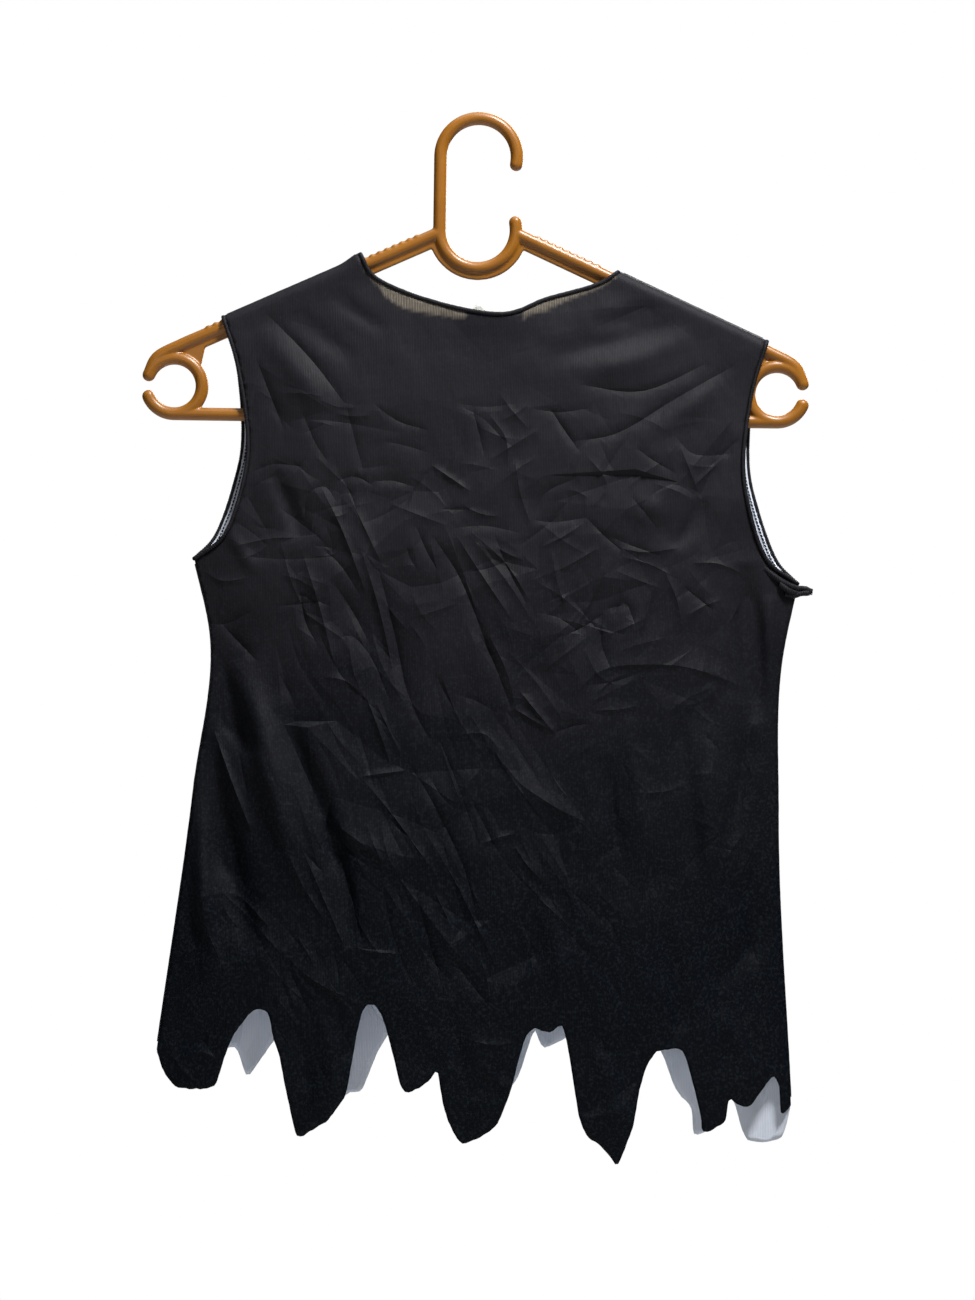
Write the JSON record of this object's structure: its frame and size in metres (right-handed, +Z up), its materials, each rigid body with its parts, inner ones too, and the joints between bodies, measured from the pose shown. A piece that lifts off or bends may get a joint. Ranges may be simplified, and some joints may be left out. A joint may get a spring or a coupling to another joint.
{
  "type": "tattered costume tunic on a hanger",
  "caption": "Child's sleeveless black costume tunic with a raw-cut tattered zigzag hem, hung on a one-piece plastic hanger; it lifts off the hanger's arms.",
  "frame": {"origin": "inside top of the hanger's hook, where it rests on a nail or a rail", "axes": "+Z up, +X along the hanger, +Y from the tunic's back to its front"},
  "size_m": [0.3974, 0.039, 0.6165],
  "materials": {
    "plastic": "glossy brown injection-moulded plastic",
    "cloth": "thin black dyed polyester with a white wrong side",
    "thread": "matt black overlock thread",
    "label": "blank white woven tape"
  },
  "bodies": {
    "hanger": {"hanger": "plastic"},
    "tunic": {"back_panel": "cloth", "front_panel": "cloth", "left_shoulder_seam": "cloth", "right_shoulder_seam": "cloth", "left_side_seam": "cloth", "right_side_seam": "cloth", "neck_edging": "thread", "left_armhole_edging": "thread", "right_armhole_edging": "thread"},
    "label": {"neck_label": "label"}
  },
  "joints": [
    {"name": "tunic_lift", "type": "slide", "parent": "hanger", "child": "tunic", "axis": [0, 0, 1], "range_m": [0, 0.055]},
    {"name": "label_flip", "type": "hinge", "parent": "tunic", "child": "label", "pos_m": [0.0103, -0.0082, -0.1144], "axis": [1, 0, 0], "range_deg": [0, 175]}
  ]
}
